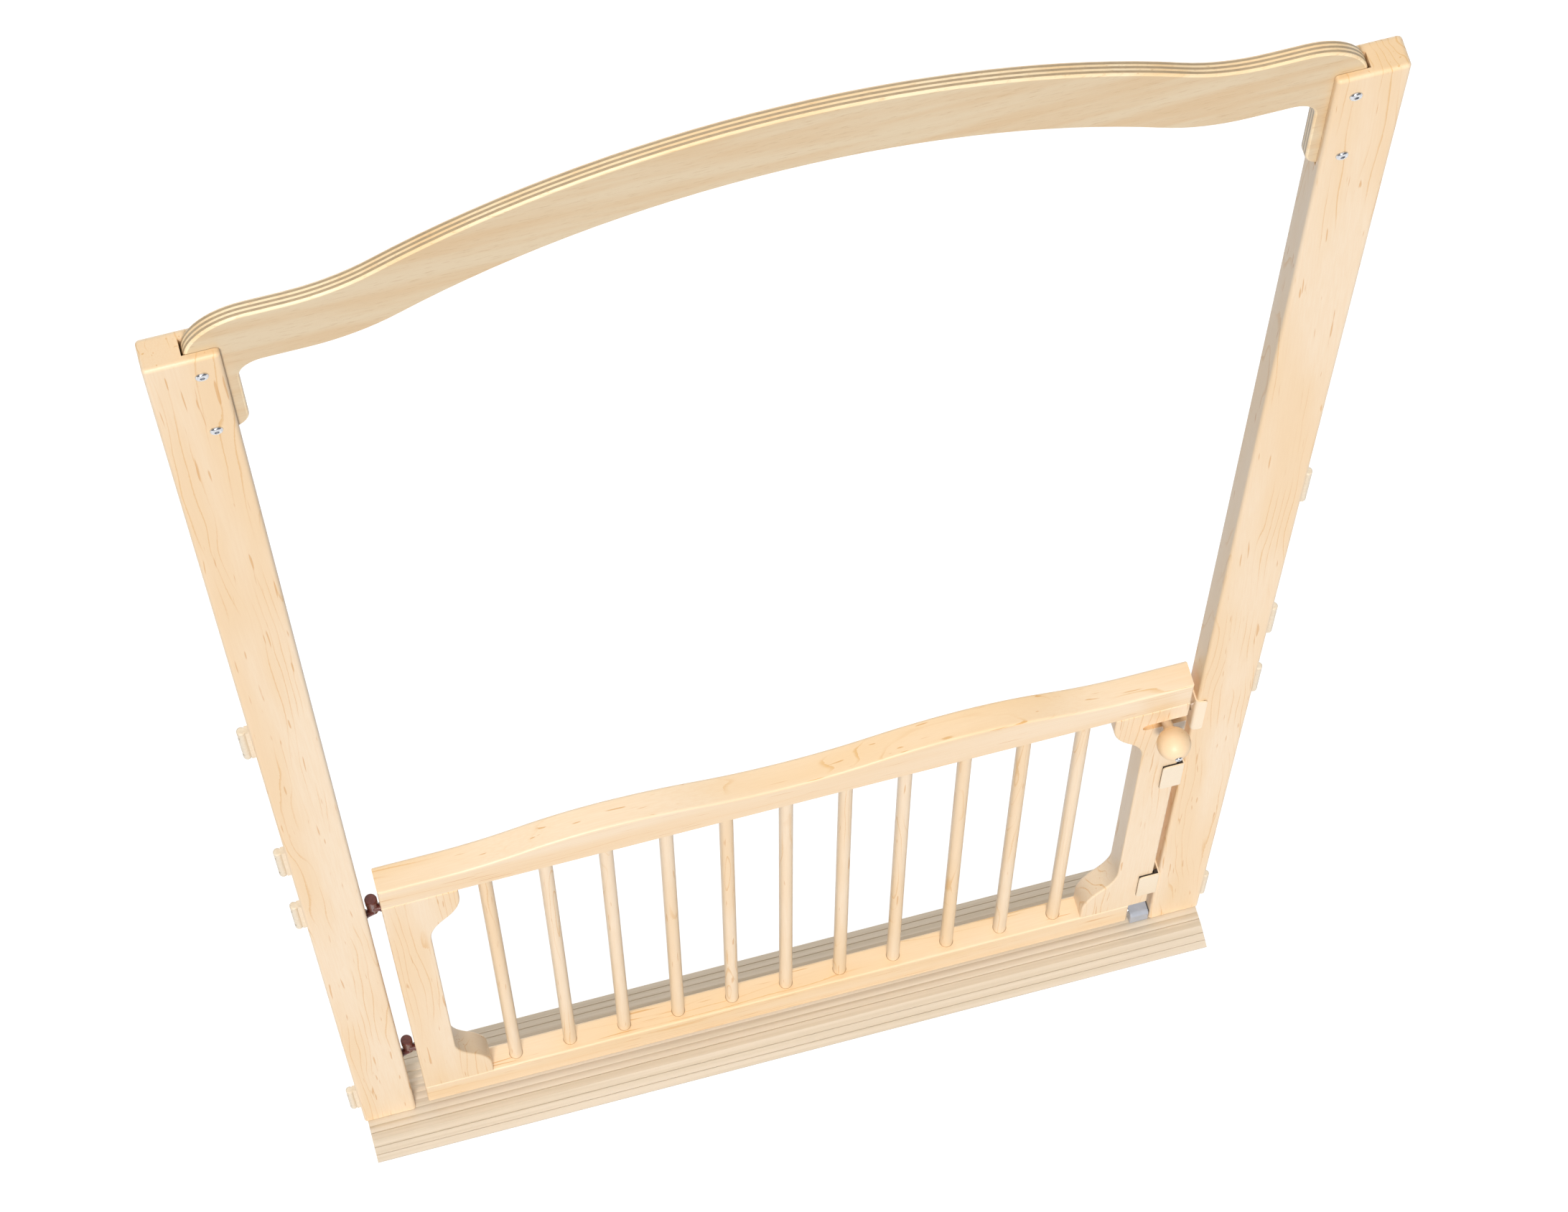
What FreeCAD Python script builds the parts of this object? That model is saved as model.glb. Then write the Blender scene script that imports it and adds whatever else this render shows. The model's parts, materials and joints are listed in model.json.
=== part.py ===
import FreeCAD, Part
import math
import os
import re
import Sketcher

# Walk-through safety gate: two maple posts on a low ramped sill, joined overhead by an arched plywood
# header, with a low spindle gate between them.  Frame: X across the doorway, Y through it (the gate
# opens towards +Y), Z up, origin on the floor midway between the posts and midway through their depth.

os.makedirs("parts", exist_ok=True)
doc = FreeCAD.newDocument("arch_gate")
V = FreeCAD.Vector

# Driving dimensions in millimetres: alias, value, what it measures.
DIMENSIONS = [
    ("outer_width", 1062.0, "over the outer faces of both posts"),
    ("post_width", 64.3, "post, across the doorway"),
    ("post_depth", 31.0, "post, rails and stiles, through the doorway"),
    ("post_height", 2176.0, "post, above the sill"),
    ("post_round", 4.0, "rounding of the post's edges"),
    ("sill_height", 11.5, "sill top above the floor"),
    ("sill_length", 1055.0, "sill, across the doorway"),
    ("sill_depth", 133.5, "sill, through the doorway"),
    ("ramp_run", 25.5, "depth of each sloping ramp"),
    ("sill_nose", 2.2, "upright edge at the foot of each ramp"),
    ("bead_pitch", 9.1, "spacing of the rounded beads along the sill's top"),
    ("bead_rise", 0.9, "height of each bead above the groove beside it"),
    ("bead_count", 7.0, "beads across the sill's top"),
    ("groove_width", 1.0, "grip grooves cut in the ramps"),
    ("groove_depth", 0.8, "grip grooves cut in the ramps"),
    ("groove_first", 8.3, "first ramp groove from the ramp's top"),
    ("groove_step", 8.8, "second ramp groove from the first"),
    ("ply_thickness", 14.0, "arched header"),
    ("ply_offset", -1.1, "header's middle from the posts' middle plane"),
    ("ply_round", 3.0, "rounding of the header's edges"),
    ("slot_width", 15.5, "slot in each post's top for the header"),
    ("slot_offset", -0.75, "slot's middle from the posts' middle plane"),
    ("slot_run", 30.7, "slot, from the post's inner face"),
    ("slot_floor", 1.5, "slot's floor below the header's foot"),
    ("arch_top", 2340.6, "header's crown above the floor"),
    ("arch_soffit", 2254.1, "underside of the header at the middle"),
    ("ear_top", 2230.6, "header's level top beside each post"),
    ("ear_soffit", 2145.6, "header's level underside beside each post"),
    ("foot_bottom", 2029.6, "lowest point of the header's foot in the slot"),
    ("header_half", 496.5, "half the header's full length"),
    ("foot_inner", 456.0, "foot's inner edge from the middle"),
    ("crown_radius", 670.0, "outline above the crown"),
    ("soffit_radius", 630.0, "outline below the crown"),
    ("crown_reach", 410.0, "where the top outline turns level"),
    ("soffit_reach", 398.0, "where the bottom outline turns level"),
    ("ear_radius", 56.0, "rounded outer end of the header"),
    ("throat_radius", 22.0, "inside corner between soffit and foot"),
    ("foot_radius", 20.0, "rounded lower corner of the foot"),
    ("bolt_spot", 485.5, "header bolts from the middle"),
    ("bolt_high", 2157.0, "upper header bolts above the floor"),
    ("bolt_low", 2051.5, "lower header bolts above the floor"),
    ("bolt_shank", 3.0, "header bolt, radius"),
    ("bolt_head", 5.75, "header bolt and sleeve nut, head radius"),
    ("bolt_dome", 2.6, "header bolt and sleeve nut, head height"),
    ("bolt_ease", 2.2, "header bolt and sleeve nut, rounding of the head"),
    ("bolt_socket", 2.3, "hexagon socket, corner radius"),
    ("socket_depth", 1.8, "hexagon socket, depth"),
    ("sleeve_radius", 4.0, "sleeve nut, barrel radius"),
    ("sleeve_length", 7.5, "sleeve nut, barrel length"),
    ("sleeve_floor", 2.0, "wood or metal left beyond a sleeve nut's thread"),
    ("hinge_gap", 17.0, "between the hinge post and the gate"),
    ("latch_gap", 7.5, "between the gate and the latch post"),
    ("gate_bottom", 26.5, "underside of the gate above the floor"),
    ("low_rail", 58.0, "bottom rail's height"),
    ("stile_height", 683.5, "between the two rails"),
    ("top_rail", 52.5, "top rail's height at its ends"),
    ("hump_rise", 25.5, "top rail's humps above its ends"),
    ("dip_rise", 5.0, "top rail's middle above its ends"),
    ("hump_spot", 200.0, "humps from the gate's middle"),
    ("hump_reach", 390.0, "where the top rail turns level"),
    ("rail_round", 2.8, "rounding of the rails' edges"),
    ("stile_width", 46.0, "stile between its brackets"),
    ("bracket_width", 85.0, "scrolled bracket at each end of a stile"),
    ("bracket_flat", 28.0, "upright part of each bracket"),
    ("bracket_curve", 112.0, "height of each bracket's S-curve"),
    ("stile_round", 2.5, "rounding of the stiles' edges"),
    ("notch_run", 22.5, "bottom rail stops short of the latch stile's edge"),
    ("spindle_radius", 7.95, "round dowel"),
    ("spindle_hole", 8.35, "dowel hole radius"),
    ("spindle_ease", 1.0, "rounding of a dowel's ends"),
    ("spindle_depth", 12.0, "dowel hole depth"),
    ("spindle_pitch", 67.7, "between dowel centres"),
    ("spindle_count", 11.0, "dowels"),
    ("peg_radius", 4.0, "hidden pegs in the stile joints"),
    ("peg_reach", 20.0, "peg length each side of a joint"),
    ("peg_inset", 15.0, "first peg from a stile's outer edge"),
    ("peg_step", 45.0, "between the two pegs of a joint"),
    ("pin_depth", 8.5, "hinge axis behind the middle plane"),
    ("pin_radius", 3.0, "hinge pin"),
    ("pin_slack", 0.06, "running clearance in the gate's eyes"),
    ("hinge_low", 180.6, "underside of the lower hinge"),
    ("hinge_high", 705.5, "underside of the upper hinge"),
    ("post_eye_radius", 6.0, "lower eye of a hinge, fixed to the post"),
    ("post_eye_height", 10.7, "lower eye of a hinge"),
    ("gate_eye_radius", 6.4, "upper eye of a hinge, fixed to the gate"),
    ("gate_eye_height", 11.0, "upper eye of a hinge"),
    ("eye_ease", 0.6, "rounding of the eyes' edges"),
    ("eye_gap", 0.4, "between eyes, and under the pin's cap"),
    ("cap_height", 13.2, "hinge pin's cap"),
    ("cap_radius", 6.9, "hinge pin's cap"),
    ("cap_ease", 1.2, "rounding of the pin's cap"),
    ("pin_tail", 2.0, "pin showing below the lower eye"),
    ("shank_depth", 4.1, "hinge eyes' shanks behind the middle plane"),
    ("arm_wide", 4.9, "tapered arm of an eye, radius at the wood"),
    ("arm_narrow", 3.0, "tapered arm of an eye, radius at the pin"),
    ("collar_radius", 5.3, "collar of an eye against the wood"),
    ("collar_thickness", 1.2, "collar of an eye against the wood"),
    ("thread_radius", 2.75, "hinge eye's threaded shank"),
    ("thread_length", 24.0, "hinge eye's threaded shank"),
    ("latch_height", 724.0, "latch bolt above the floor"),
    ("latch_radius", 4.75, "latch bolt"),
    ("latch_bore", 4.8, "bore for the latch bolt"),
    ("latch_tip", 464.7, "tip of the drawn-back bolt from the middle"),
    ("latch_length", 59.7, "latch bolt"),
    ("latch_ease", 1.4, "rounding of the bolt's tip"),
    ("latch_bore_end", 380.0, "blind end of the bore"),
    ("slot_left", 415.0, "centre of the face slot's round end"),
    ("slot_half", 7.5, "half the face slot's height"),
    ("slot_sink", 5.0, "depth of the face slot"),
    ("stud_slot", 2.75, "half the height of the slot for the knob's bolt"),
    ("stud_radius", 2.5, "knob's bolt"),
    ("stud_bite", 2.0, "knob's bolt beyond the latch bolt's middle"),
    ("neck_play", 0.5, "knob's neck from the face slot's floor"),
    ("knob_spot", 435.4, "knob from the middle"),
    ("knob_out", 41.0, "ball's centre in front of the middle plane"),
    ("knob_radius", 19.0, "ball"),
    ("neck_radius", 5.8, "ball's neck"),
    ("knob_sink", 0.9, "seat of the knob's bolt below the top of the ball"),
    ("knob_head", 4.2, "knob's bolt, head radius"),
    ("knob_seat", 4.4, "seat of the knob's bolt, radius"),
    ("knob_dome", 2.4, "knob's bolt, head height"),
    ("knob_ease", 1.9, "knob's bolt, rounding of the head"),
    ("knob_socket", 1.5, "knob's bolt, socket's corner radius"),
    ("knob_socket_depth", 1.4, "knob's bolt, depth of the socket"),
    ("sheet_steel", 1.6, "strike plate and stops"),
    ("leg_depth", 26.0, "strike plate and stops, leg on the post's inner face"),
    ("strike_bottom", 683.4, "strike plate above the floor"),
    ("strike_height", 84.3, "strike plate"),
    ("strike_face", 11.8, "strike plate's lip, reach from the post's inner face"),
    ("strike_hole", 8.0, "hole for the latch bolt, radius"),
    ("strike_bore", 14.0, "depth of the hole in the post"),
    ("strike_corner", 2.0, "rounding of the lip's upper corner"),
    ("strike_foot", 5.5, "rounding of the lip's lower corner"),
    ("strike_bend", 3.8, "strike plate's inner bend radius"),
    ("strike_flare", 10.3, "degrees that the lip flares off the wood"),
    ("stop_low", 126.5, "lower stop above the floor"),
    ("stop_high", 512.7, "upper stop above the floor"),
    ("stop_height", 67.3, "stops"),
    ("stop_lap", 25.5, "stop's front leg, inwards from the post"),
    ("stop_gap", 2.1, "between the closed gate and the stops"),
    ("pad_thickness", 1.7, "rubber pad behind a stop's front leg"),
    ("pad_inset", 0.3, "pad inside the edges of its stop"),
    ("pad_side", 4.6, "pad's thickness on the stop's other leg"),
    ("pad_reach", 4.0, "pad's reach behind the posts' front"),
    ("stop_corner", 4.5, "rounding of the stops' corners"),
    ("stop_screw_front", 6.0, "stop screws in front of the middle plane"),
    ("stop_screw_end", 13.0, "nearer stop screw from the stop's end"),
    ("stop_screw_far", 28.0, "other stop screw from the stop's other end"),
    ("plate_screw_back", 4.5, "strike screws behind the middle plane"),
    ("strike_screw_end", 14.0, "strike screws from the plate's ends"),
    ("connector_length", 69.0, "side connectors"),
    ("connector_tier_1", 1306.0, "left connectors' middles above the floor"),
    ("connector_tier_2", 950.0, "left connectors' middles above the floor"),
    ("connector_tier_3", 775.0, "left connectors' middles above the floor"),
    ("connector_tier_4", 72.0, "left connectors' middles above the floor"),
    ("connector_drop", 19.0, "right connectors below the left ones"),
    ("connector_base", 8.0, "strip against the post, width"),
    ("connector_strip", 4.5, "strip against the post, thickness"),
    ("connector_neck", 4.5, "neck, width"),
    ("connector_bulb", 4.5, "round bead, radius"),
    ("connector_reach", 12.4, "from the post's face to the bead's front"),
    ("connector_screws", 22.0, "connector screws from its middle"),
    ("connector_sink", 3.0, "connector screws' heads below the bead's front"),
    ("connector_ease", 1.8, "rounding of the bead's ends"),
    ("catch_left", 441.9, "catch block's free end from the middle"),
    ("catch_right", 464.9, "catch block's other end from the middle"),
    ("cover_inset", 2.5, "catch's end cover inside the block's edges"),
    ("catch_depth", 25.0, "catch block, through the doorway"),
    ("catch_height", 25.5, "catch block above the sill"),
    ("catch_round", 2.0, "catch block's edges"),
    ("catch_brow", 6.0, "rounding of the catch block's upper front edge"),
    ("catch_seat", 9.0, "catch screw's head above the sill"),
    ("catch_bite", 7.5, "catch screw in the sill"),
    ("catch_screw_inset", 7.0, "catch screw from the post"),
    ("catch_screw_back", 5.0, "catch screw behind the middle plane"),
    ("plunger_height", 29.5, "catch plunger above the floor"),
    ("plunger_spot", -3.0, "catch plunger from the middle plane"),
    ("plunger_tip", 439.0, "catch plunger's nose from the middle"),
    ("plunger_nose", 3.2, "nose radius"),
    ("plunger_mouth", 3.25, "mouth radius in the block"),
    ("plunger_body", 4.9, "collar radius"),
    ("plunger_bore", 4.95, "bore radius in the block"),
    ("plunger_shoulder", 446.5, "collar's front from the middle"),
    ("collar_length", 6.0, "plunger's collar"),
    ("spring_wire", 0.5, "catch spring's wire, radius"),
    ("spring_radius", 3.8, "catch spring, to the wire's middle"),
    ("spring_coils", 5.0, "catch spring"),
    ("spring_play", 0.05, "catch spring, from what it presses on"),
    ("keeper_thickness", 1.0, "keeper on the bottom rail's end"),
    ("keeper_width", 18.0, "keeper, through the doorway"),
    ("keeper_height", 24.0, "keeper"),
    ("keeper_drop", 2.8, "keeper's lower edge below the plunger's axis"),
    ("keeper_hole", 1.8, "keeper's hole for the plunger's nose, radius"),
    ("keeper_screw_1", 9.1, "keeper's lower screw above the plunger's axis"),
    ("keeper_screw_2", 17.3, "keeper's upper screw above the plunger's axis"),
    ("screw_shank", 1.75, "small wood screw"),
    ("screw_head", 3.3, "small wood screw"),
    ("screw_play", 0.1, "screw in a clearance hole"),
    ("keeper_screw_head", 2.8, "keeper's low-headed screws"),
    ("keeper_screw_rise", 0.6, "keeper's low-headed screws"),
    ("screw_tip", 0.2, "point of a wood screw"),
    ("pan_height", 2.2, "pan-headed screw"),
    ("pan_ease", 1.4, "rounding of a pan head"),
    ("pan_slot", 0.8, "cross cut in a pan head"),
    ("pan_cross", 2.0, "half the length of each cut"),
    ("screw_length", 20.0, "small wood screw in the wood"),
    ("long_shank", 2.25, "sill screw"),
    ("long_head", 4.6, "sill screw"),
    ("long_length", 45.0, "sill screw"),
    ("sill_screws", 15.0, "sill screws each side of a post's middle"),
    ("sill_screw_sink", 1.0, "sill screws' heads above the floor"),
    ("overcut", 1.0, "how far a cutting tool starts outside the wood"),
]

dims = doc.addObject("Spreadsheet::Sheet", "dims")
size = {}
for row, (alias, amount, meaning) in enumerate(DIMENSIONS, start=1):
    dims.set(f"A{row}", meaning)
    dims.set(f"B{row}", str(amount))
    dims.setAlias(f"B{row}", alias)
    size[alias] = amount
doc.recompute()

# Formulas that several pieces share, in the words of the sheet.
INNER = "(outer_width / 2 - post_width)"
FRONT = "(-post_depth / 2)"
GATE_LEFT = "(-outer_width / 2 + post_width + hinge_gap)"
GATE_RIGHT = "(outer_width / 2 - post_width - latch_gap)"
STILE_BOTTOM = "(gate_bottom + low_rail)"
STILE_TOP = "(gate_bottom + low_rail + stile_height)"
PIN_X = "(-outer_width / 2 + post_width + hinge_gap / 2)"
POST_TOP = "(sill_height + post_height)"

# The same places as numbers, for outlines.
inner_x = size["outer_width"] / 2 - size["post_width"]
gate_left = -inner_x + size["hinge_gap"]
gate_right = inner_x - size["latch_gap"]
gate_middle = (gate_left + gate_right) / 2
stile_bottom = size["gate_bottom"] + size["low_rail"]
stile_top = stile_bottom + size["stile_height"]

TURNS = {
    "+x": FreeCAD.Rotation(V(0, 1, 0), 90),
    "-x": FreeCAD.Rotation(V(0, 1, 0), -90),
    "+y": FreeCAD.Rotation(V(1, 0, 0), -90),
    "-y": FreeCAD.Rotation(V(1, 0, 0), 90),
    "+z": FreeCAD.Rotation(),
    "-z": FreeCAD.Rotation(V(1, 0, 0), 180),
}
nodes = []


# ---- document helpers -------------------------------------------------------------------------------

def formula(text):
    """The text of an expression with every alias looked up in the sheet."""
    return re.sub(r"[a-z]\w*", lambda word: "dims." + word.group(), str(text))


def bind(thing, **properties):
    """Bind properties of a document object to formulas of the sheet."""
    for name, text in properties.items():
        thing.setExpression(name.replace("__", "."), formula(text))
    return thing


def put(thing, x, y, z, heading="+z"):
    """Place an object at three formulas, with its own Z turned to the heading."""
    thing.Placement = FreeCAD.Placement(V(), TURNS[heading])
    return bind(thing, Placement__Base__x=x, Placement__Base__y=y, Placement__Base__z=z)


def box(x, y, z, length, width, height):
    """Box from its lowest corner."""
    return put(bind(doc.addObject("Part::Box"), Length=length, Width=width, Height=height), x, y, z)


def rod(x, y, z, radius, length, heading):
    """Cylinder from the middle of its first end along the heading."""
    return put(bind(doc.addObject("Part::Cylinder"), Radius=radius, Height=length), x, y, z, heading)


def cone(x, y, z, first, last, length, heading):
    """Cone from the middle of its first end along the heading."""
    piece = doc.addObject("Part::Cone")
    return put(bind(piece, Radius1=first, Radius2=last, Height=length), x, y, z, heading)


def ball(x, y, z, radius):
    """Sphere about its centre."""
    return put(bind(doc.addObject("Part::Sphere"), Radius=radius), x, y, z)


def hexagon(x, y, z, corner, length, heading):
    """Hexagonal bar from the middle of its first end along the heading."""
    piece = doc.addObject("Part::Prism")
    piece.Polygon = 6
    return put(bind(piece, Circumradius=corner, Height=length), x, y, z, heading)


def joined(*pieces):
    """One solid from several that overlap."""
    piece = doc.addObject("Part::MultiFuse")
    piece.Shapes = list(pieces)
    piece.Refine = True
    return piece


def carved(base, *tools):
    """A piece with the tools' volumes taken away."""
    piece = doc.addObject("Part::Cut")
    piece.Base = base
    piece.Tool = tools[0] if len(tools) == 1 else joined(*tools)
    return piece


def rounded(base, radius, chosen):
    """A piece with the chosen edges rounded; chosen(edge) says which."""
    doc.recompute()
    piece = doc.addObject("Part::Fillet")
    piece.Base = base
    numbered = enumerate(base.Shape.Edges, start=1)
    piece.Edges = [(number, size[radius], size[radius]) for number, edge in numbered if chosen(edge)]
    return piece


def group(*pieces):
    """Separate solids kept together in one node."""
    piece = doc.addObject("Part::Compound")
    piece.Links = list(pieces)
    return piece


def node(name, piece):
    """Name a finished sub-part."""
    piece.Label = name
    nodes.append(piece)
    return piece


def runs(edge, axis):
    """Whether a straight edge runs along an axis."""
    extent = [edge.BoundBox.XLength, edge.BoundBox.YLength, edge.BoundBox.ZLength]
    along = extent.pop("xyz".index(axis))
    return along > 0.01 and max(extent) < 0.01


def near(edge, **places):
    """Whether an edge's middle is at the given coordinates."""
    middle = edge.BoundBox.Center
    return all(abs(getattr(middle, axis) - place) < 0.05 for axis, place in places.items())


# ---- outlines ---------------------------------------------------------------------------------------

class Outline:
    """Lines and arcs drawn end to end; each piece is (start, end, centre, turn, radius name)."""

    def __init__(self, x, y):
        self.pen = V(x, y, 0)
        self.pieces = []

    def line(self, x, y):
        self.pieces.append((self.pen, V(x, y, 0), None, 0, None))
        self.pen = V(x, y, 0)

    def arc(self, x, y, radius, turn, name=None):
        """Minor arc to a point: turn is +1 to the left and -1 to the right."""
        end = V(x, y, 0)
        chord = end - self.pen
        rise = math.sqrt(max(radius ** 2 - (chord.Length / 2) ** 2, 0))
        left = V(-chord.y, chord.x, 0).normalize()
        centre = self.pen + chord * 0.5 + left * rise * turn
        self.pieces.append((self.pen, end, centre, turn, name))
        self.pen = end

    def bend(self, x, y, share, turn, upright=False):
        """S-curve of two arcs, level (or upright) at both ends; share is the first arc's radius."""
        step = V(x, y, 0) - self.pen
        across = step.x if upright else step.y
        both = step.Length ** 2 / (2 * abs(across))
        first = share if share else both / 2
        middle = self.pen + step * (first / both)
        self.arc(middle.x, middle.y, first, turn)
        self.arc(x, y, both - first, -turn)

    def mirrored(self, upright, about=0.0):
        """Add the mirror image, drawn backwards, about x = about (upright) or y = about."""
        def flip(point):
            if point is None:
                return None
            return V(2 * about - point.x, point.y, 0) if upright else V(point.x, 2 * about - point.y, 0)
        images = [(flip(end), flip(start), flip(centre), turn, name)
                  for start, end, centre, turn, name in reversed(self.pieces)]
        self.pieces += images
        self.pen = images[-1][1]


def draw(body, plane_role, outlines):
    """Sketch of closed outlines on one of the body's own planes."""
    sketch = body.newObject("Sketcher::SketchObject", "outline")
    plane = next(item for item in body.Origin.OriginFeatures if item.Role == plane_role)
    sketch.AttachmentSupport = [(plane, "")]
    sketch.MapMode = "FlatFace"
    for outline in outlines:
        ends = []
        for start, end, centre, turn, name in outline.pieces:
            if centre is None:
                index = sketch.addGeometry(Part.LineSegment(start, end))
                ends.append((index, 1, 2))
                continue
            low, high = (start, end) if turn > 0 else (end, start)
            low_angle = math.atan2(low.y - centre.y, low.x - centre.x)
            high_angle = math.atan2(high.y - centre.y, high.x - centre.x)
            if high_angle < low_angle:
                high_angle += 2 * math.pi
            circle = Part.Circle(centre, V(0, 0, 1), (start - centre).Length)
            index = sketch.addGeometry(Part.ArcOfCircle(circle, low_angle, high_angle))
            ends.append((index, 1, 2) if turn > 0 else (index, 2, 1))
            if name:
                radius = sketch.addConstraint(Sketcher.Constraint("Radius", index, size[name]))
                sketch.setExpression(f"Constraints[{radius}]", formula(name))
        following = ends[1:] + ends[:1]
        for (index, _, last), (after, start_point, _) in zip(ends, following):
            sketch.addConstraint(Sketcher.Constraint("Coincident", index, last, after, start_point))
    return sketch


def slab(plane_role, outlines, thickness, rounding=None):
    """Body of an outline padded evenly both ways from a plane, its face edges rounded."""
    body = doc.addObject("PartDesign::Body")
    pad = body.newObject("PartDesign::Pad", "thickness")
    pad.Profile = draw(body, plane_role, outlines)
    bind(pad, Length=thickness)
    pad.Midplane = True
    body.Tip = pad
    doc.recompute()
    if rounding:
        half = pad.Shape.BoundBox.YMax
        on_face = [f"Edge{number}" for number, edge in enumerate(pad.Shape.Edges, start=1)
                   if abs(abs(edge.BoundBox.Center.y) - half) < 0.01]
        fillet = body.newObject("PartDesign::Fillet", "rounding")
        fillet.Base = (pad, on_face)
        bind(fillet, Radius=rounding)
        body.Tip = fillet
        doc.recompute()
    return body


# ---- fasteners --------------------------------------------------------------------------------------

def flat_screw(x, y, z, heading, head="screw_head", shank="screw_shank", length="screw_length"):
    """Countersunk screw from its head's flat top along the heading, with a pointed end."""
    sign, axis = (1 if heading[0] == "+" else -1), heading[1]
    def along(distance):
        places = {"x": x, "y": y, "z": z}
        places[axis] = f"({places[axis]}) + {sign} * ({distance})"
        return places["x"], places["y"], places["z"]
    return joined(
        cone(x, y, z, head, shank, f"{head} - {shank}", heading),
        rod(x, y, z, shank, f"{length} - 2 * {shank}", heading),
        cone(*along(f"{length} - 2 * {shank}"), shank, "screw_tip", f"2 * {shank}", heading))


def screw_hole(x, y, z, heading, shank="screw_shank", length="screw_length"):
    """Pilot hole that the screw fills, a little deeper than its point."""
    return rod(x, y, z, shank, f"{length} + overcut", heading)


def header_bolt(side, height):
    """Dome-headed bolt with a hexagon socket, from the post's front towards its sleeve nut."""
    spot = f"{side} * bolt_spot"
    dome = rounded(rod(spot, FRONT, height, "bolt_head", "bolt_dome", "-y"), "bolt_ease",
                   lambda edge: near(edge, y=-size["post_depth"] / 2 - size["bolt_dome"]))
    socket = hexagon(spot, f"{FRONT} - bolt_dome", height, "bolt_socket", "socket_depth", "+y")
    shank = rod(spot, FRONT, height, "bolt_shank", "post_depth - sleeve_floor", "+y")
    return joined(carved(dome, socket), shank)


def sleeve_nut(side, height):
    """Dome-headed sleeve nut in the post's back, threaded on the bolt."""
    spot = f"{side} * bolt_spot"
    back = "post_depth / 2"
    dome = rounded(rod(spot, back, height, "bolt_head", "bolt_dome", "+y"), "bolt_ease",
                   lambda edge: near(edge, y=size["post_depth"] / 2 + size["bolt_dome"]))
    barrel = rod(spot, back, height, "sleeve_radius", "sleeve_length", "-y")
    thread = rod(spot, f"{back} - sleeve_length", height, "bolt_shank",
                 "sleeve_length - sleeve_floor + screw_play", "+y")
    return carved(joined(dome, barrel), thread)


HEADER_BOLTS = [(side, height) for side in (-1, 1) for height in ("bolt_high", "bolt_low")]


# ---- fixed frame ------------------------------------------------------------------------------------

def side_screws(side):
    """Places of the connector screws on one post: heights of the eight."""
    drop = " - connector_drop" if side > 0 else ""
    return [f"connector_tier_{tier}{drop} + {end} * connector_screws"
            for tier in (1, 2, 3, 4) for end in (-1, 1)]


def side_face(side, out):
    """Distance out from a post's outer face, as an x formula."""
    return f"{side} * (outer_width / 2 + {out})"


def sill_screw_spots(side):
    return [f"{side} * ({INNER} + post_width / 2) + {end} * sill_screws" for end in (-1, 1)]


def post(side, fittings):
    """Post with rounded edges, slotted at the top for the header and drilled for its fittings."""
    low_x = INNER if side > 0 else "-outer_width / 2"
    blank = box(low_x, FRONT, "sill_height", "post_width", "post_depth", "post_height")
    top = size["sill_height"] + size["post_height"]
    blank = rounded(blank, "post_round", lambda edge: runs(edge, "z") or near(edge, z=top))
    slot_x = INNER if side > 0 else f"-{INNER} - slot_run"
    start = f"{slot_x} - overcut" if side > 0 else slot_x
    tools = [box(start, "-slot_width / 2 + slot_offset", "foot_bottom - slot_floor",
                 "slot_run + overcut", "slot_width", f"{POST_TOP} - foot_bottom + 2 * slot_floor")]
    for height in ("bolt_high", "bolt_low"):
        spot = f"{side} * bolt_spot"
        tools.append(rod(spot, f"{FRONT} - overcut", height, "bolt_shank + screw_play",
                         "post_depth / 2 + overcut", "+y"))
        tools.append(rod(spot, 0, height, "sleeve_radius + screw_play / 2", "post_depth", "+y"))
    inward = "-x" if side > 0 else "+x"
    for height in side_screws(side):
        tools.append(screw_hole(side_face(side, 0), 0, height, inward))
    for spot in sill_screw_spots(side):
        tools.append(rod(spot, 0, 0, "long_shank", "long_length + 2 * sill_screw_sink", "+z"))
    return carved(blank, *tools, *fittings)


def hinge_seat():
    """Holes in the left post for the hinge eyes' shanks."""
    return [rod(f"-{INNER}", "shank_depth", f"{low} + post_eye_height / 2", "thread_radius",
                "thread_length + overcut", "-x") for low in ("hinge_low", "hinge_high")]


STRIKE_SCREWS = [("plate_screw_back", "strike_bottom + strike_screw_end"),
                 ("plate_screw_back", "strike_bottom + strike_height - strike_screw_end")]
STOP_SCREWS = [("-stop_screw_front", "stop_high + stop_height - stop_screw_end"),
               ("-stop_screw_front", "stop_high + stop_screw_far"),
               ("-stop_screw_front", "stop_low + stop_screw_end"),
               ("-stop_screw_front", "stop_low + stop_height - stop_screw_far")]
CATCH_SCREW = (f"{INNER} - catch_screw_inset", "catch_screw_back")
CATCH_SEAT = "(sill_height + catch_seat)"


def latch_seat():
    """Holes in the right post for the latch bolt and the screws of its plates."""
    holes = [rod(INNER, 0, "latch_height", "strike_hole", "strike_bore", "+x")]
    for y, z in STRIKE_SCREWS + STOP_SCREWS:
        holes.append(screw_hole(f"{INNER} - sheet_steel", y, z, "+x"))
    return holes


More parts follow.
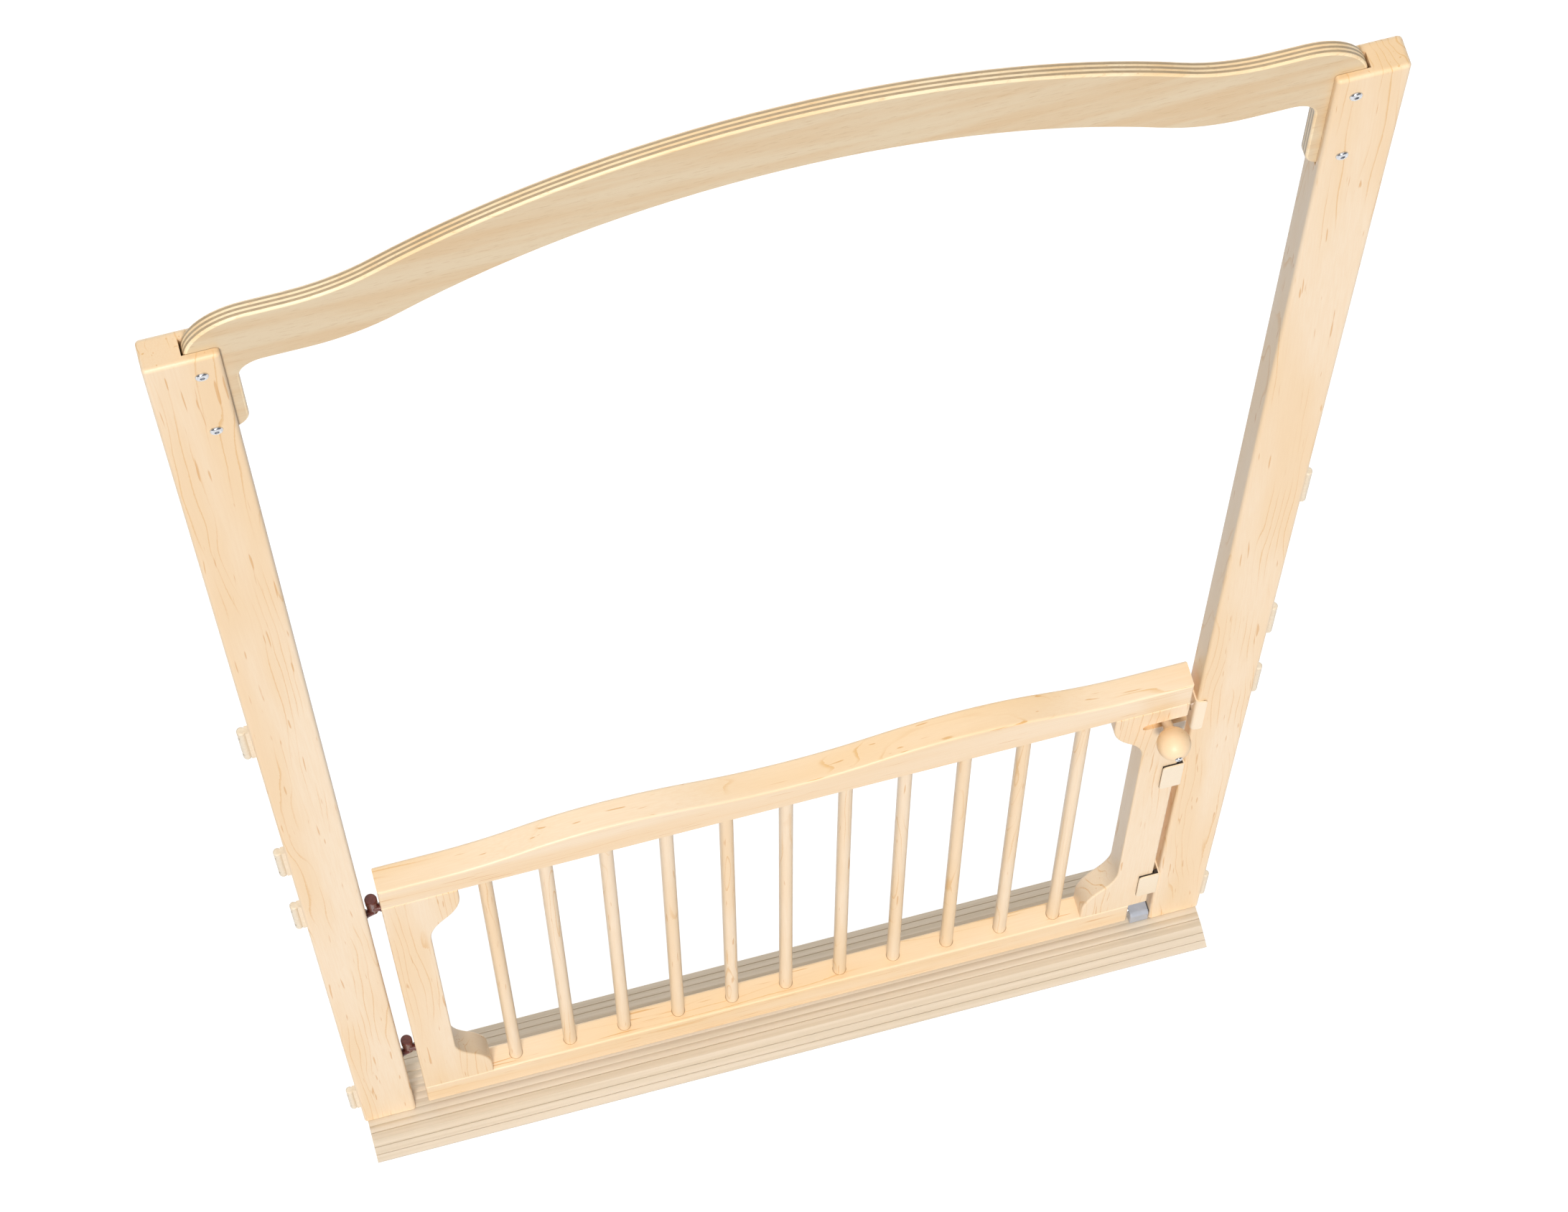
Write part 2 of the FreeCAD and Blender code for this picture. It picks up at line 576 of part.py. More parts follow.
def header():
    """Arched plywood header: S-curved top and soffit, rounded ears, and a foot in each post's slot."""
    half = Outline(0, size["arch_soffit"])
    half.bend(size["soffit_reach"], size["ear_soffit"], size["soffit_radius"], -1)
    half.line(size["foot_inner"] - size["throat_radius"], size["ear_soffit"])
    half.arc(size["foot_inner"], size["ear_soffit"] - size["throat_radius"], size["throat_radius"], -1,
             "throat_radius")
    half.line(size["foot_inner"], size["foot_bottom"] + size["foot_radius"])
    half.arc(size["foot_inner"] + size["foot_radius"], size["foot_bottom"], size["foot_radius"], 1,
             "foot_radius")
    half.line(size["header_half"], size["foot_bottom"])
    half.line(size["header_half"], size["ear_top"] - size["ear_radius"])
    half.arc(size["header_half"] - size["ear_radius"], size["ear_top"], size["ear_radius"], 1,
             "ear_radius")
    half.line(size["crown_reach"], size["ear_top"])
    rise = size["arch_top"] - size["ear_top"]
    both = (size["crown_reach"] ** 2 + rise ** 2) / (2 * rise)
    half.bend(0, size["arch_top"], both - size["crown_radius"], -1)
    half.mirrored(upright=True)
    blank = slab("XZ_Plane", [half], "ply_thickness", "ply_round")
    bind(blank, Placement__Base__y="ply_offset")
    holes = [rod(f"{side} * bolt_spot", FRONT, height, "bolt_shank + screw_play", "post_depth", "+y")
             for side, height in HEADER_BOLTS]
    return carved(blank, *holes)


def sill():
    """Ramped sill: rounded beads along its flat top, two grip grooves in each ramp."""
    top = size["sill_height"]
    half_depth = size["sill_depth"] / 2
    ramp_top = half_depth - size["ramp_run"]
    fall = (top - size["sill_nose"]) / size["ramp_run"]
    pitch, rise = size["bead_pitch"], size["bead_rise"]
    beads = int(size["bead_count"])
    bead_radius = ((pitch / 2) ** 2 + rise ** 2) / (2 * rise)
    half = Outline(0, 0)
    half.line(half_depth, 0)
    half.line(half_depth, size["sill_nose"])

    def slope(y):
        return top - fall * (y - ramp_top)

    for groove in (1, 0):
        centre = ramp_top + size["groove_first"] + groove * size["groove_step"]
        outer = centre + size["groove_width"] / 2
        inner = centre - size["groove_width"] / 2
        half.line(outer, slope(outer))
        half.line(outer, slope(outer) - size["groove_depth"])
        half.line(inner, slope(inner) - size["groove_depth"])
        half.line(inner, slope(inner))
    half.line(ramp_top, top)
    edge = beads * pitch / 2
    half.line(edge + rise, top)
    half.line(edge, top - rise)
    for bead in range(beads // 2):
        edge -= pitch
        half.arc(edge, top - rise, bead_radius, 1)
    half.arc(0, top, bead_radius, 1)
    half.mirrored(upright=True)
    blank = slab("YZ_Plane", [half], "sill_length")
    tools = []
    for side in (-1, 1):
        for spot in sill_screw_spots(side):
            tools.append(rod(spot, 0, "-overcut", "long_shank + screw_play",
                             "sill_height + 2 * overcut", "+z"))
            tools.append(cone(spot, 0, 0, "long_head + sill_screw_sink + screw_play",
                              "long_shank + screw_play", "long_head - long_shank + sill_screw_sink", "+z"))
    tools.append(rod(*CATCH_SCREW, "sill_height", "screw_shank", "catch_bite", "-z"))
    return carved(blank, *tools)


def connector(side, tier):
    """Side connector: a strip on the post's outer face, a neck, and a round bead with eased ends."""
    drop = " - connector_drop" if side > 0 else ""
    low = f"connector_tier_{tier}{drop} - connector_length / 2"
    def strip(first, last, width):
        x = side_face(side, first) if side > 0 else side_face(side, last)
        return box(x, f"-{width} / 2", low, f"{last} - {first}", width, "connector_length")
    bead_x = "connector_reach - connector_bulb"
    bead = rounded(rod(side_face(side, bead_x), 0, low, "connector_bulb", "connector_length", "+z"),
                   "connector_ease", lambda edge: not runs(edge, "z"))
    whole = joined(strip("0", "connector_strip", "connector_base"), strip("1", bead_x, "connector_neck"),
                   bead)
    tools = []
    inward = "-x" if side > 0 else "+x"
    for end in (-1, 1):
        height = f"{low} + connector_length / 2 + {end} * connector_screws"
        face = side_face(side, "connector_reach + overcut")
        seat = side_face(side, "connector_reach - connector_sink")
        tools.append(rod(face, 0, height, "screw_shank + screw_play", "connector_reach + 2 * overcut",
                         inward))
        tools.append(rod(face, 0, height, "screw_head + screw_play", "connector_sink + overcut", inward))
        tools.append(cone(seat, 0, height, "screw_head + screw_play", "screw_shank + screw_play",
                          "screw_head - screw_shank", inward))
    return carved(whole, *tools)


def hinge_eye(low, height, radius, bore, side):
    """Hinge eye round the pin's axis, with a tapered arm, a collar, and a threaded shank in the wood.

    The shank lies nearer the middle of the wood than the pin, so that the gate swings clear of the post.
    """
    wood = f"-{INNER}" if side < 0 else GATE_LEFT
    to_pin, to_wood = ("+x", "-x") if side < 0 else ("-x", "+x")
    middle = f"{low} + {height} / 2"
    ring = rounded(rod(PIN_X, "pin_depth", low, radius, height, "+z"), "eye_ease",
                   lambda edge: edge.BoundBox.ZLength < 0.01)
    arm = cone(wood, "shank_depth", middle, "arm_wide", "arm_narrow", "hinge_gap / 2", to_pin)
    collar = rod(wood, "shank_depth", middle, "collar_radius", "collar_thickness", to_pin)
    shank = rod(wood, "shank_depth", middle, "thread_radius", "thread_length", to_wood)
    hole = rod(PIN_X, "pin_depth", f"{low} - overcut", bore, f"{height} + 2 * overcut", "+z")
    return carved(joined(ring, arm, collar, shank), hole)


def hinge(prefix, low):
    """Three pieces of one hinge: fixed lower eye, the gate's upper eye, and the capped pin."""
    gate_low = f"{low} + post_eye_height + eye_gap"
    node(f"{prefix}_hinge_post_eye", hinge_eye(low, "post_eye_height", "post_eye_radius", "pin_radius", -1))
    node(f"{prefix}_hinge_gate_eye", hinge_eye(gate_low, "gate_eye_height", "gate_eye_radius",
                                               "pin_radius + pin_slack", 1))
    cap_low = f"{gate_low} + gate_eye_height + eye_gap"
    stem = rod(PIN_X, "pin_depth", f"{low} - pin_tail", "pin_radius",
               f"{cap_low} - ({low}) + pin_tail + cap_height / 2", "+z")
    cap = rod(PIN_X, "pin_depth", cap_low, "cap_radius", "cap_height", "+z")
    cap = rounded(cap, "cap_ease", lambda edge: edge.BoundBox.ZLength < 0.01
                  and edge.BoundBox.ZMin > cap.Shape.BoundBox.Center.z)
    node(f"{prefix}_hinge_pin", joined(stem, cap))


def strike_plate():
    """Strike plate of bent sheet: a leg on the right post's inner face, a bend round the post's edge, and
    a lip on its front that flares a little off the wood; drilled for the latch bolt and two screws."""
    sheet, bend = size["sheet_steel"], size["strike_bend"]
    front = -size["post_depth"] / 2
    back = front + size["leg_depth"]
    flare = math.radians(size["strike_flare"])
    middle = V(inner_x + bend, front + bend, 0)
    square = V(-math.sin(flare), -math.cos(flare), 0)
    inner = middle + square * bend
    outer = middle + square * (bend + sheet)
    lip = V(math.cos(flare), -math.sin(flare), 0) * (size["strike_face"] - bend)
    bent = Outline(inner_x, back)
    bent.line(inner_x - sheet, back)
    bent.line(inner_x - sheet, middle.y)
    bent.arc(outer.x, outer.y, bend + sheet, 1)
    bent.line(outer.x + lip.x, outer.y + lip.y)
    bent.line(inner.x + lip.x, inner.y + lip.y)
    bent.line(inner.x, inner.y)
    bent.arc(inner_x, middle.y, bend, -1, "strike_bend")
    bent.line(inner_x, back)
    plate = slab("XY_Plane", [bent], "strike_height")
    bind(plate, Placement__Base__z="strike_bottom + strike_height / 2")
    half_way = size["strike_bottom"] + size["strike_height"] / 2
    plate = rounded(plate, "strike_corner", lambda edge: abs(edge.Length - sheet) < 0.01
                    and edge.BoundBox.Center.x > inner_x and edge.BoundBox.Center.z > half_way)
    plate = rounded(plate, "strike_foot", lambda edge: abs(edge.Length - sheet) < 0.01
                    and edge.BoundBox.Center.x > inner_x and edge.BoundBox.Center.z < half_way)
    face = f"{INNER} - sheet_steel"
    through = "sheet_steel + 2 * overcut"
    tools = [rod(f"{face} - overcut", 0, "latch_height", "strike_hole", through, "+x")]
    for y, z in STRIKE_SCREWS:
        tools.append(rod(f"{face} - overcut", y, z, "screw_shank + screw_play", through, "+x"))
        tools.append(cone(face, y, z, "screw_head + screw_play", "screw_shank + screw_play",
                          "screw_head - screw_shank", "+x"))
    return carved(plate, *tools)


def stop_plate(low, screws):
    """Stop of bent sheet: a leg on the right post's inner face, and one in front of the closed gate."""
    face = f"{INNER} - sheet_steel"
    front = f"{FRONT} - stop_gap - sheet_steel"
    inner_leg = box(face, front, low, "sheet_steel", "leg_depth + sheet_steel", "stop_height")
    front_leg = box(f"{INNER} - stop_lap", front, low, "stop_lap", "sheet_steel", "stop_height")
    whole = rounded(joined(inner_leg, front_leg), "stop_corner",
                    lambda edge: runs(edge, "y") and near(edge, x=inner_x - size["stop_lap"]))
    front_y = -size["post_depth"] / 2 - size["stop_gap"] - size["sheet_steel"]
    whole = rounded(whole, "sheet_steel", lambda edge: runs(edge, "z") and near(edge, x=inner_x, y=front_y))
    holes = [rod(f"{face} - overcut", y, z, "screw_shank", "sheet_steel + 2 * overcut", "+x")
             for y, z in screws]
    return carved(whole, *holes)


def stop_pad(low):
    """Rubber pad in the corner of a stop, which the closed gate rests on."""
    start = f"{FRONT} - stop_gap"
    bottom = f"{low} + pad_inset"
    height = "stop_height - 2 * pad_inset"
    layer = box(f"{INNER} - stop_lap + pad_inset", start, bottom, "stop_lap - pad_inset - sheet_steel",
                "pad_thickness", height)
    side = box(f"{INNER} - sheet_steel - pad_side", start, bottom, "pad_side", "stop_gap + pad_reach", height)
    return joined(layer, side)


def pan_screw(y, z):
    """Pan-headed screw through a stop's inner leg into the right post."""
    face = f"{INNER} - sheet_steel"
    head = rounded(rod(face, y, z, "screw_head", "pan_height", "-x"), "pan_ease",
                   lambda edge: edge.BoundBox.XLength < 0.01
                   and edge.BoundBox.XMin < inner_x - size["sheet_steel"] - size["pan_height"] / 2)
    start = f"{face} - 1.5 * pan_height"
    cross = joined(box(start, f"{y} - pan_slot / 2", f"{z} - pan_cross", "pan_height", "pan_slot",
                       "2 * pan_cross"),
                   box(start, f"{y} - pan_cross", f"{z} - pan_slot / 2", "pan_height",
                       "2 * pan_cross", "pan_slot"))
    return joined(carved(head, cross), rod(face, y, z, "screw_shank", "screw_length", "+x"))


# ---- gate -------------------------------------------------------------------------------------------

def spindle_x(number):
    return f"({GATE_LEFT} + {GATE_RIGHT}) / 2 + ({number} - (spindle_count - 1) / 2) * spindle_pitch"


PEGS = [(f"{GATE_LEFT} + peg_inset", "top"), (f"{GATE_LEFT} + peg_inset + peg_step", "top"),
        (f"{GATE_LEFT} + peg_inset", "low"), (f"{GATE_LEFT} + peg_inset + peg_step", "low"),
        (f"{GATE_RIGHT} - peg_inset", "top"), (f"{GATE_RIGHT} - peg_inset - peg_step", "top"),
        (f"{GATE_RIGHT} - notch_run - peg_inset", "low"), (f"{GATE_RIGHT} - peg_inset - peg_step", "low")]


KEEPER_SCREWS = [("0", f"plunger_height + keeper_screw_{number}") for number in (1, 2)]


def peg(x, end):
    joint = STILE_TOP if end == "top" else STILE_BOTTOM
    return rod(x, 0, f"{joint} - peg_reach", "peg_radius", "2 * peg_reach", "+z")


def top_rail():
    """Top rail with a level underside and two low humps on top."""
    end_top = stile_top + size["top_rail"]
    hump = end_top + size["hump_rise"]
    half = Outline(gate_middle, stile_top)
    half.line(gate_right, stile_top)
    half.line(gate_right, end_top)
    half.line(gate_middle + size["hump_reach"], end_top)
    half.bend(gate_middle + size["hump_spot"], hump, None, -1)
    half.bend(gate_middle, end_top + size["dip_rise"], None, 1)
    half.mirrored(upright=True, about=gate_middle)
    blank = slab("XZ_Plane", [half], "post_depth", "rail_round")
    holes = [rod(spindle_x(number), 0, STILE_TOP, "spindle_hole", "spindle_depth", "+z")
             for number in range(int(size["spindle_count"]))]
    return carved(blank, *holes, *[peg(x, end) for x, end in PEGS if end == "top"])


def bottom_rail():
    """Bottom rail, cut short at the latch end to clear the catch."""
    right = gate_right - size["notch_run"]
    bar = Outline(gate_left, size["gate_bottom"])
    bar.line(right, size["gate_bottom"])
    bar.line(right, stile_bottom)
    bar.line(gate_left, stile_bottom)
    bar.line(gate_left, size["gate_bottom"])
    blank = slab("XZ_Plane", [bar], "post_depth", "rail_round")
    holes = [rod(spindle_x(number), 0, f"{STILE_BOTTOM} - spindle_depth", "spindle_hole",
                 "spindle_depth + overcut", "+z") for number in range(int(size["spindle_count"]))]
    end = f"{GATE_RIGHT} - notch_run"
    screws = [screw_hole(end, y, z, "-x") for y, z in KEEPER_SCREWS]
    return carved(blank, *holes, *screws, *[peg(x, name) for x, name in PEGS if name == "low"])


def stile(outer, direction, fittings):
    """Stile with a scrolled bracket at each end; direction points from its outer edge to the dowels."""
    narrow = outer + direction * size["stile_width"]
    wide = outer + direction * size["bracket_width"]
    middle = (stile_bottom + stile_top) / 2
    turn = -direction
    half = Outline(narrow, middle)
    half.line(narrow, stile_top - size["bracket_flat"] - size["bracket_curve"])
    half.bend(wide, stile_top - size["bracket_flat"], None, turn, upright=True)
    half.line(wide, stile_top)
    half.line(outer, stile_top)
    half.line(outer, middle)
    half.mirrored(upright=False, about=middle)
    return carved(slab("XZ_Plane", [half], "post_depth", "stile_round"), *fittings)


def hinge_stile():
    """Hinge stile, drilled for the gate eyes' shanks."""
    shanks = [rod(GATE_LEFT, "shank_depth", f"{low} + post_eye_height + eye_gap + gate_eye_height / 2",
                  "thread_radius", "thread_length + overcut", "+x") for low in ("hinge_low", "hinge_high")]
    return stile(gate_left, 1, shanks + [peg(x, end) for x, end in PEGS if x.startswith(GATE_LEFT)])


def latch_stile():
    """Latch stile: bore for the bolt, and a stepped slot in its face that the knob slides in."""
    face = f"{FRONT} - overcut"
    reach = f"{GATE_RIGHT} - slot_left + overcut"
    run = f"{GATE_RIGHT} - latch_bore_end + overcut"
    end = "slot_left - stud_radius - overcut"
    tools = [
        rod("latch_bore_end", 0, "latch_height", "latch_bore", run, "+x"),
        box("slot_left", face, "latch_height - slot_half", reach, "slot_sink + overcut", "2 * slot_half"),
        rod("slot_left", face, "latch_height", "slot_half", "slot_sink + overcut", "+y"),
        box(end, face, "latch_height - stud_slot", f"{GATE_RIGHT} + overcut - ({end})",
            "post_depth / 2 + overcut", "2 * stud_slot"),
    ]
    return stile(gate_right, -1, tools + [peg(x, end) for x, end in PEGS if x.startswith(GATE_RIGHT)])


def spindle(number):
    """Round dowel, with eased ends, between the two rails."""
    bar = rod(spindle_x(number), 0, f"{STILE_BOTTOM} - spindle_depth", "spindle_radius",
              "stile_height + 2 * spindle_depth", "+z")
    return rounded(bar, "spindle_ease", lambda edge: edge.BoundBox.ZLength < 0.01)


# ---- latch and catch --------------------------------------------------------------------------------

def latch_bolt():
    bar = rod("latch_tip - latch_length", 0, "latch_height", "latch_radius", "latch_length", "+x")
    bar = rounded(bar, "latch_ease", lambda edge: edge.BoundBox.XLength < 0.01
                  and edge.BoundBox.XMin > size["latch_tip"] - 1)
    return carved(bar, rod("knob_spot", "-knob_out", "latch_height", "stud_radius", "knob_out + stud_bite",
                           "+y"))


def latch_knob():
    """Turned wooden ball on a short neck that slides in the stile's face slot."""
    head = ball("knob_spot", "-knob_out", "latch_height", "knob_radius")
    neck = rod("knob_spot", "-knob_out", "latch_height", "neck_radius",
               "knob_out - post_depth / 2 + slot_sink - neck_play", "+y")
    start = "-knob_out - knob_radius"
    hole = rod("knob_spot", start, "latch_height", "stud_radius", "knob_out + knob_radius", "+y")
    seat = rod("knob_spot", f"{start} - overcut", "latch_height", "knob_seat", "knob_sink + overcut", "+y")
    return carved(joined(head, neck), hole, seat)


def knob_bolt():
    """Dome-headed bolt through the knob into the latch bolt."""
    seat = "-knob_out - knob_radius + knob_sink"
    top = -size["knob_out"] - size["knob_radius"] + size["knob_sink"] - size["knob_dome"]
    dome = rounded(rod("knob_spot", seat, "latch_height", "knob_head", "knob_dome", "-y"), "knob_ease",
                   lambda edge: near(edge, y=top))
    socket = hexagon("knob_spot", f"{seat} - knob_dome", "latch_height", "knob_socket",
                     "knob_socket_depth", "+y")
    shank = rod("knob_spot", seat, "latch_height", "stud_radius",
                "knob_out + knob_radius - knob_sink + stud_bite", "+y")
    return joined(carved(dome, socket), shank)


def catch_block():
    """Catch housing on the sill, with a round brow, bored for its sprung plunger."""
    blank = box("catch_left", FRONT, "sill_height", "catch_right - catch_left", "catch_depth", "catch_height")
    block_top = size["sill_height"] + size["catch_height"]
    block_back = -size["post_depth"] / 2 + size["catch_depth"]
    blank = rounded(blank, "catch_brow", lambda edge: near(edge, z=block_top, y=-size["post_depth"] / 2))
    blank = rounded(blank, "catch_round", lambda edge: near(edge, z=block_top, y=block_back)
                    or near(edge, x=size["catch_left"])
                    and edge.BoundBox.Center.z > size["sill_height"] + 1)
    mouth = rod("catch_left - overcut", "plunger_spot", "plunger_height", "plunger_mouth",
                "plunger_shoulder - catch_left + 2 * overcut", "+x")
    bore = rod("plunger_shoulder", "plunger_spot", "plunger_height", "plunger_bore",
               "catch_right - plunger_shoulder + overcut", "+x")
    top = "sill_height + catch_height"
    screw = [rod(*CATCH_SCREW, top, "screw_shank + screw_play", "catch_height + overcut", "-z"),
             rod(*CATCH_SCREW, CATCH_SEAT, "screw_head + screw_play", "catch_height", "+z")]
    return carved(blank, mouth, bore, *screw)


def catch_cover():
    """Plate between the catch block and the post that closes the bore behind the spring."""
    return box("catch_right", f"{FRONT} + cover_inset", "sill_height", f"{INNER} - catch_right",
               "catch_depth - 2 * cover_inset", "catch_height - cover_inset")


def catch_screw():
    """Pan-headed screw down through the block into the sill."""
    head = rod(*CATCH_SCREW, CATCH_SEAT, "screw_head", "pan_height", "+z")
    return joined(head, rod(*CATCH_SCREW, CATCH_SEAT, "screw_shank", "catch_seat + catch_bite", "-z"))


def plunger():
    """Round-nosed plunger with a collar that keeps it in the block."""
    nose = "plunger_tip + plunger_nose"
    tip = ball(nose, "plunger_spot", "plunger_height", "plunger_nose")
    stem = rod(nose, "plunger_spot", "plunger_height", "plunger_nose",
               f"plunger_shoulder + collar_length / 2 - ({nose})", "+x")
    collar = rod("plunger_shoulder", "plunger_spot", "plunger_height", "plunger_body", "collar_length", "+x")
    return joined(tip, stem, collar)


def catch_spring():
    """Compression spring between the plunger's collar and the catch's end cover."""
    start = "plunger_shoulder + collar_length + spring_wire + spring_play"
    room = f"(catch_right - ({start}) - spring_wire - spring_play)"
    helix = doc.addObject("Part::Helix")
    bind(helix, Radius="spring_radius", Pitch=f"{room} / spring_coils", Height=room)
    section = put(bind(doc.addObject("Part::Circle"), Radius="spring_wire"), "spring_radius", 0, 0, "-y")
    coil = doc.addObject("Part::Sweep")
    coil.Sections = [section]
    coil.Spine = (helix, ["Edge1"])
    coil.Solid = True
    coil.Frenet = True
    return put(coil, start, "plunger_spot", "plunger_height", "+x")


def keeper():
    """Thin steel keeper on the bottom rail's end, with a hole that the plunger's nose faces."""
    end = f"{GATE_RIGHT} - notch_run"
    through = "keeper_thickness + 2 * overcut"
    plate = box(end, "-keeper_width / 2 + plunger_spot / 2", "plunger_height - keeper_drop",
                "keeper_thickness", "keeper_width", "keeper_height")
    tools = [rod(f"{end} - overcut", "plunger_spot", "plunger_height", "keeper_hole", through, "+x")]
    tools += [rod(f"{end} - overcut", y, z, "screw_shank", through, "+x") for y, z in KEEPER_SCREWS]
    return carved(plate, *tools)


def keeper_screw(y, z):
    """Low-headed screw through the keeper."""
    end = f"{GATE_RIGHT} - notch_run + keeper_thickness"
    return joined(rod(end, y, z, "keeper_screw_head", "keeper_screw_rise", "+x"),
                  rod(end, y, z, "screw_shank", "screw_length", "-x"))


# ---- the pieces -------------------------------------------------------------------------------------

node("left_post", post(-1, hinge_seat()))
node("right_post", post(1, latch_seat()))
node("arch_header", header())
node("threshold", sill())
node("arch_bolts", group(*[header_bolt(side, height) for side, height in HEADER_BOLTS]))
node("arch_sleeve_nuts", group(*[sleeve_nut(side, height) for side, height in HEADER_BOLTS]))
long_screw = ("sill_screw_sink", "+z", "long_head", "long_shank", "long_length")
node("threshold_screws", group(*[flat_screw(spot, 0, *long_screw)
                                 for side in (-1, 1) for spot in sill_screw_spots(side)]))
for side, name in ((-1, "left"), (1, "right")):
    for tier in (1, 2, 3, 4):
        node(f"{name}_connector_{tier}", connector(side, tier))
    heading = "-x" if side > 0 else "+x"
    seat = side_face(side, "connector_reach - connector_sink")
    node(f"{name}_connector_screws", group(*[flat_screw(seat, 0, height, heading)
                                             for height in side_screws(side)]))
hinge("upper", "hinge_high")
hinge("lower", "hinge_low")
node("strike_plate", strike_plate())
node("strike_screws", group(*[flat_screw(f"{INNER} - sheet_steel", y, z, "+x") for y, z in STRIKE_SCREWS]))
node("upper_stop", stop_plate("stop_high", STOP_SCREWS[:2]))
node("lower_stop", stop_plate("stop_low", STOP_SCREWS[2:]))
node("stop_pads", group(*[stop_pad(low) for low in ("stop_high", "stop_low")]))
node("stop_screws", group(*[pan_screw(y, z) for y, z in STOP_SCREWS]))
node("catch_block", catch_block())
node("catch_cover", catch_cover())
node("catch_screw", catch_screw())
node("catch_spring", catch_spring())
node("catch_plunger", plunger())
node("gate_top_rail", top_rail())
node("gate_bottom_rail", bottom_rail())
node("hinge_stile", hinge_stile())
node("latch_stile", latch_stile())
for number in range(int(size["spindle_count"])):
    node(f"spindle_{number + 1:02d}", spindle(number))
node("joint_pegs", group(*[peg(x, end) for x, end in PEGS]))
node("catch_keeper", keeper())
node("keeper_screws", group(*[keeper_screw(y, z) for y, z in KEEPER_SCREWS]))
node("latch_bolt", latch_bolt())
node("knob_bolt", knob_bolt())
node("latch_knob", latch_knob())

doc.recompute()
for thing in doc.Objects:
    if "Invalid" in thing.State or "Error" in thing.State:
        raise RuntimeError(f"{thing.Name} failed: {thing.State}")
for piece in nodes:
    if piece.Shape.isNull() or not piece.Shape.isValid() or not piece.Shape.Solids:
        raise RuntimeError(f"{piece.Label} has no valid solid")
for piece in nodes:
    piece.Shape.exportStep(f"parts/{piece.Label}.step")
    print(piece.Label, len(piece.Shape.Solids), round(piece.Shape.Volume))
print(len(nodes), "nodes")
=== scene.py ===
import json
import math

import bpy
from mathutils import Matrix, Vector


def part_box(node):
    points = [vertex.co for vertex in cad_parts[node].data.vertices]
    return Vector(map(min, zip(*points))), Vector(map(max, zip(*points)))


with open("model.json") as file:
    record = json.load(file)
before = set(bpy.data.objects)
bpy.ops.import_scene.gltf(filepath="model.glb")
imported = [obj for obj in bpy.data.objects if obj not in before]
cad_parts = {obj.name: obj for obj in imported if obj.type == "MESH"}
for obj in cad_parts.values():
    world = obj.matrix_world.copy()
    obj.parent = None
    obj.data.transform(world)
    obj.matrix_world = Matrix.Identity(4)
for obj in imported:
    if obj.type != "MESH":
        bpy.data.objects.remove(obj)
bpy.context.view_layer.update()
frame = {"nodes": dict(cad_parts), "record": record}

# Walk-through safety gate of lacquered maple: two posts on a ramped sill, an arched plywood header, and
# a low spindle gate with brown pin hinges, a ball-headed slide latch and a bottom catch.  The frame holds
# every shape; this script gives each one its finish and sets up the light and the camera.  All lengths
# are in metres unless a name says mm.

MM = 0.001

# Light: compass bearing and height in degrees, width in degrees, strength, and tint.  Bearing 0 is in
# front of the gate and 90 to its right.
LAMPS = {
    "key": (-14, 33, 18, 2.75, "fffaf4"),
    "overhead": (0, 88, 70, 0.9, "fffcf6"),
    "back fill": (176, 12, 60, 1.6, "fffcf6"),
}
SURROUNDINGS, SURROUNDINGS_STRENGTH = "eef4ff", 0.22
FLOOR_HALF, FLOOR_GREY, FLOOR_GLOW, FLOOR_ROUGHNESS = 60.0, 0.22, 0.9, 0.9

# Camera: the point it looks at, its bearing and height in degrees from there, and its lens in mm.
AIM, BEARING, HEIGHT, DISTANCE = (0.0026, 0.0, 1.311), -15.141, 68.033, 4.650
LENS_MM, SENSOR_MM = 109.09, 36.0


# ---- nodes and colours ------------------------------------------------------------------------------

def colour(code):
    """Linear colour of an sRGB hex value such as "fbddbb"."""
    channels = [int(code[place:place + 2], 16) / 255 for place in (0, 2, 4)]
    return [c / 12.92 if c <= 0.04045 else ((c + 0.055) / 1.055) ** 2.4 for c in channels] + [1.0]


def add(tree, kind, links=(), **settings):
    """Add a node: settings are its properties, and links its inputs, each a socket or a plain value."""
    node = tree.nodes.new(kind)
    for name, value in settings.items():
        setattr(node, name, value)
    for name, value in dict(links).items():
        if isinstance(value, bpy.types.NodeSocket):
            tree.links.new(value, node.inputs[name])
        else:
            node.inputs[name].default_value = value
    return node


# Settings that repeat: a smooth ramp, and a mix of two colours with its sockets' places.
SMOOTH = {"interpolation_type": "SMOOTHSTEP"}
COLOURS = {"data_type": "RGBA"}
FACTOR, FIRST, SECOND, MIXED = 0, 6, 7, 2


def started(name):
    """New material with an empty node tree, and its Object coordinates."""
    material = bpy.data.materials.new(name)
    material.use_nodes = True
    tree = material.node_tree
    tree.nodes.clear()
    return material, tree, add(tree, "ShaderNodeTexCoord").outputs["Object"]


def finished(tree, tone, relief, strength, depth_mm, **shader_values):
    """Close a material: its colour, its fine relief, and the shader's plain values by socket name."""
    bump = add(tree, "ShaderNodeBump", {"Height": relief, "Strength": strength, "Distance": depth_mm * MM})
    values = {socket.replace("_", " "): value for socket, value in shader_values.items()}
    shader = add(tree, "ShaderNodeBsdfPrincipled", {
        "Base Color": tone, "Normal": bump.outputs["Normal"], **values})
    add(tree, "ShaderNodeOutputMaterial", {"Surface": shader.outputs["BSDF"]})


def layered(tree, tone, layers):
    """Colour built up from a first one: each layer is an amount and the sRGB colour that it mixes in."""
    for amount, code in layers:
        tone = add(tree, "ShaderNodeMix", {FACTOR: amount, FIRST: tone, SECOND: colour(code)},
                   **COLOURS).outputs[MIXED]
    return tone


